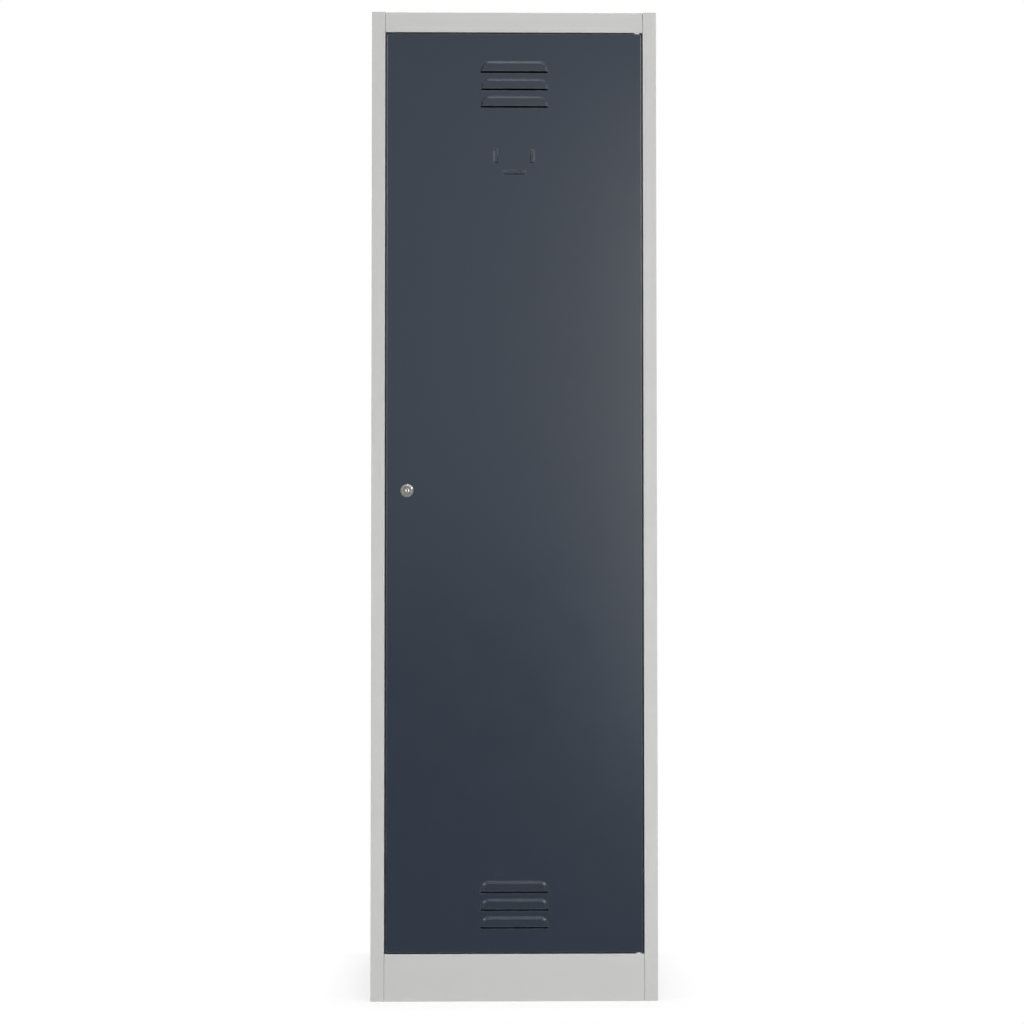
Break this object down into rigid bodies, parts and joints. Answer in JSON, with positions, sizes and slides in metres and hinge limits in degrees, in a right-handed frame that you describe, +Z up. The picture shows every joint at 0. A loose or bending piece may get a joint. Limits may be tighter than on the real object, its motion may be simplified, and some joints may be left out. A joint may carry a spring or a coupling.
{
  "type": "metal storage cabinet",
  "caption": "Tall narrow folded-steel storage cabinet with a louvred hinged door on concealed pivots, a cam lock, a flush plinth and adjustable shelves on clips.",
  "frame": {"origin": "on the floor, at the centre of the carcass footprint; the louvres stand out 2.9 mm and the lock 3.2 mm in front of it", "axes": "+Z up, -Y towards the door and the user, +X to the right of a user who faces the door (hinge side)"},
  "size_m": [0.52, 0.5032, 1.8],
  "materials": {
    "carcass_grey": "light grey satin powder coat with a fine texture",
    "door_anthracite": "blue-grey anthracite satin powder coat",
    "zinc_steel": "bright zinc plate",
    "lock_nickel": "polished nickel plate",
    "nylon": "natural nylon",
    "rubber": "matt black"
  },
  "bodies": {
    "carcass": {"left_side_panel": "carcass_grey", "right_side_panel": "carcass_grey", "top_panel": "carcass_grey", "base_panel": "carcass_grey", "back_panel": "carcass_grey", "front_left_shelf_rail": "carcass_grey", "front_right_shelf_rail": "carcass_grey", "rear_left_shelf_rail": "carcass_grey", "rear_right_shelf_rail": "carcass_grey", "shelf_1": "carcass_grey", "shelf_2": "carcass_grey", "shelf_3": "carcass_grey", "shelf_4": "carcass_grey", "shelf_1_clips": "zinc_steel", "shelf_2_clips": "zinc_steel", "shelf_3_clips": "zinc_steel", "shelf_4_clips": "zinc_steel", "hinge_pins": "zinc_steel", "door_buffers": "rubber"},
    "door": {"door_panel": "door_anthracite", "door_stiffener": "door_anthracite", "hinge_plates": "zinc_steel", "hinge_bushes": "nylon", "lock_housing": "lock_nickel", "lock_nut": "zinc_steel"},
    "lock": {"lock_plug": "lock_nickel", "lock_cam": "zinc_steel", "cam_screw": "zinc_steel"}
  },
  "joints": [
    {"name": "door_hinge", "type": "hinge", "parent": "carcass", "child": "door", "pos_m": [0.225, -0.2434, 0.923], "axis": [0, 0, 1], "range_deg": [0, 105]},
    {"name": "lock_turn", "type": "hinge", "parent": "door", "child": "lock", "pos_m": [-0.195, -0.25, 0.923], "axis": [0, 1, 0], "range_deg": [0, 90]}
  ]
}
